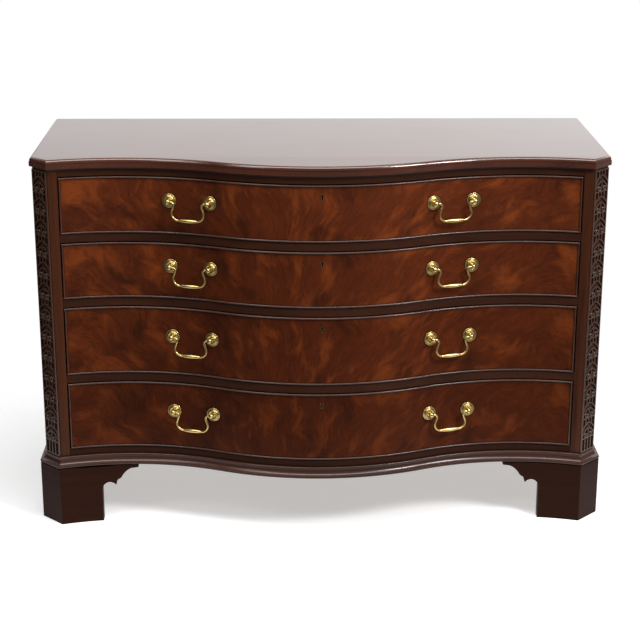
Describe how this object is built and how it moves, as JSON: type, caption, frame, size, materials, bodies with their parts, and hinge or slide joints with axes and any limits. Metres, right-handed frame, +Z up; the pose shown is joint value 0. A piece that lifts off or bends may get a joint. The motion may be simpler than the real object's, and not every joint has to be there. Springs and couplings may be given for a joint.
{
  "type": "serpentine chest of drawers",
  "caption": "Serpentine-fronted chest of drawers with a moulded top, fretted canted corners, cockbeaded drawers, brass swan-neck handles and shaped bracket feet.",
  "frame": {"origin": "on the floor, under the middle of the whole width and depth", "axes": "+X along the front to the right, +Y from the front to the back, +Z up; the drawers open towards -Y"},
  "size_m": [1.39, 0.5828, 0.916],
  "materials": {
    "front_veneer": "polished figured mahogany veneer",
    "top_mahogany": "high polish",
    "side_mahogany": "polish",
    "case_mahogany": "polish, dark",
    "fret_mahogany": "waxed, dark in the recesses",
    "drawer_wood": "bare planed wood",
    "pale_wood": "bare wood, toned",
    "brass": "polished, lightly tarnished in the hollows",
    "lock_brass": "dull brass",
    "screw_steel": "dull steel"
  },
  "bodies": {
    "case": {"top_board": "top_mahogany", "left_side_panel": "side_mahogany", "right_side_panel": "side_mahogany", "left_corner_post": "case_mahogany", "right_corner_post": "case_mahogany", "left_fret": "fret_mahogany", "right_fret": "fret_mahogany", "back_boards": "pale_wood", "back_rail": "pale_wood", "top_rail": "case_mahogany", "drawer_rails": "case_mahogany", "bottom_rail": "case_mahogany", "bottom_board": "pale_wood", "dust_boards": "pale_wood", "drawer_runners": "pale_wood", "drawer_guides": "pale_wood", "drawer_stops": "pale_wood", "top_screws": "screw_steel", "base_moulding": "case_mahogany", "front_left_foot": "case_mahogany", "front_right_foot": "case_mahogany", "back_left_foot": "case_mahogany", "back_right_foot": "case_mahogany", "foot_blocks": "pale_wood"},
    "drawer_1": {"drawer_1_front": "front_veneer", "drawer_1_cockbead": "case_mahogany", "drawer_1_sides": "drawer_wood", "drawer_1_back": "drawer_wood", "drawer_1_bottom": "drawer_wood", "drawer_1_lock": "lock_brass", "drawer_1_handle_mounts": "brass"},
    "drawer_1_left_bail": {"drawer_1_left_bail": "brass"},
    "drawer_1_right_bail": {"drawer_1_right_bail": "brass"},
    "drawer_2": {"drawer_2_front": "front_veneer", "drawer_2_cockbead": "case_mahogany", "drawer_2_sides": "drawer_wood", "drawer_2_back": "drawer_wood", "drawer_2_bottom": "drawer_wood", "drawer_2_lock": "lock_brass", "drawer_2_handle_mounts": "brass"},
    "drawer_2_left_bail": {"drawer_2_left_bail": "brass"},
    "drawer_2_right_bail": {"drawer_2_right_bail": "brass"},
    "drawer_3": {"drawer_3_front": "front_veneer", "drawer_3_cockbead": "case_mahogany", "drawer_3_sides": "drawer_wood", "drawer_3_back": "drawer_wood", "drawer_3_bottom": "drawer_wood", "drawer_3_lock": "lock_brass", "drawer_3_handle_mounts": "brass"},
    "drawer_3_left_bail": {"drawer_3_left_bail": "brass"},
    "drawer_3_right_bail": {"drawer_3_right_bail": "brass"},
    "drawer_4": {"drawer_4_front": "front_veneer", "drawer_4_cockbead": "case_mahogany", "drawer_4_sides": "drawer_wood", "drawer_4_back": "drawer_wood", "drawer_4_bottom": "drawer_wood", "drawer_4_lock": "lock_brass", "drawer_4_handle_mounts": "brass"},
    "drawer_4_left_bail": {"drawer_4_left_bail": "brass"},
    "drawer_4_right_bail": {"drawer_4_right_bail": "brass"}
  },
  "joints": [
    {"name": "drawer_1_slide", "type": "slide", "parent": "case", "child": "drawer_1", "axis": [0, -1, 0], "range_m": [0, 0.33]},
    {"name": "drawer_1_left_bail_swing", "type": "hinge", "parent": "drawer_1", "child": "drawer_1_left_bail", "pos_m": [-0.31417, -0.21576, 0.81595], "axis": [-0.9603, 0.2788, 0], "range_deg": [-12, 100]},
    {"name": "drawer_1_right_bail_swing", "type": "hinge", "parent": "drawer_1", "child": "drawer_1_right_bail", "pos_m": [0.31417, -0.21576, 0.81595], "axis": [-0.9603, -0.2788, 0], "range_deg": [-12, 100]},
    {"name": "drawer_2_slide", "type": "slide", "parent": "case", "child": "drawer_2", "axis": [0, -1, 0], "range_m": [0, 0.33]},
    {"name": "drawer_2_left_bail_swing", "type": "hinge", "parent": "drawer_2", "child": "drawer_2_left_bail", "pos_m": [-0.31417, -0.21576, 0.65645], "axis": [-0.9603, 0.2788, 0], "range_deg": [-12, 100]},
    {"name": "drawer_2_right_bail_swing", "type": "hinge", "parent": "drawer_2", "child": "drawer_2_right_bail", "pos_m": [0.31417, -0.21576, 0.65645], "axis": [-0.9603, -0.2788, 0], "range_deg": [-12, 100]},
    {"name": "drawer_3_slide", "type": "slide", "parent": "case", "child": "drawer_3", "axis": [0, -1, 0], "range_m": [0, 0.33]},
    {"name": "drawer_3_left_bail_swing", "type": "hinge", "parent": "drawer_3", "child": "drawer_3_left_bail", "pos_m": [-0.31417, -0.21576, 0.4807], "axis": [-0.9603, 0.2788, 0], "range_deg": [-12, 100]},
    {"name": "drawer_3_right_bail_swing", "type": "hinge", "parent": "drawer_3", "child": "drawer_3_right_bail", "pos_m": [0.31417, -0.21576, 0.4807], "axis": [-0.9603, -0.2788, 0], "range_deg": [-12, 100]},
    {"name": "drawer_4_slide", "type": "slide", "parent": "case", "child": "drawer_4", "axis": [0, -1, 0], "range_m": [0, 0.33]},
    {"name": "drawer_4_left_bail_swing", "type": "hinge", "parent": "drawer_4", "child": "drawer_4_left_bail", "pos_m": [-0.31417, -0.21576, 0.2887], "axis": [-0.9603, 0.2788, 0], "range_deg": [-12, 100]},
    {"name": "drawer_4_right_bail_swing", "type": "hinge", "parent": "drawer_4", "child": "drawer_4_right_bail", "pos_m": [0.31417, -0.21576, 0.2887], "axis": [-0.9603, -0.2788, 0], "range_deg": [-12, 100]}
  ]
}
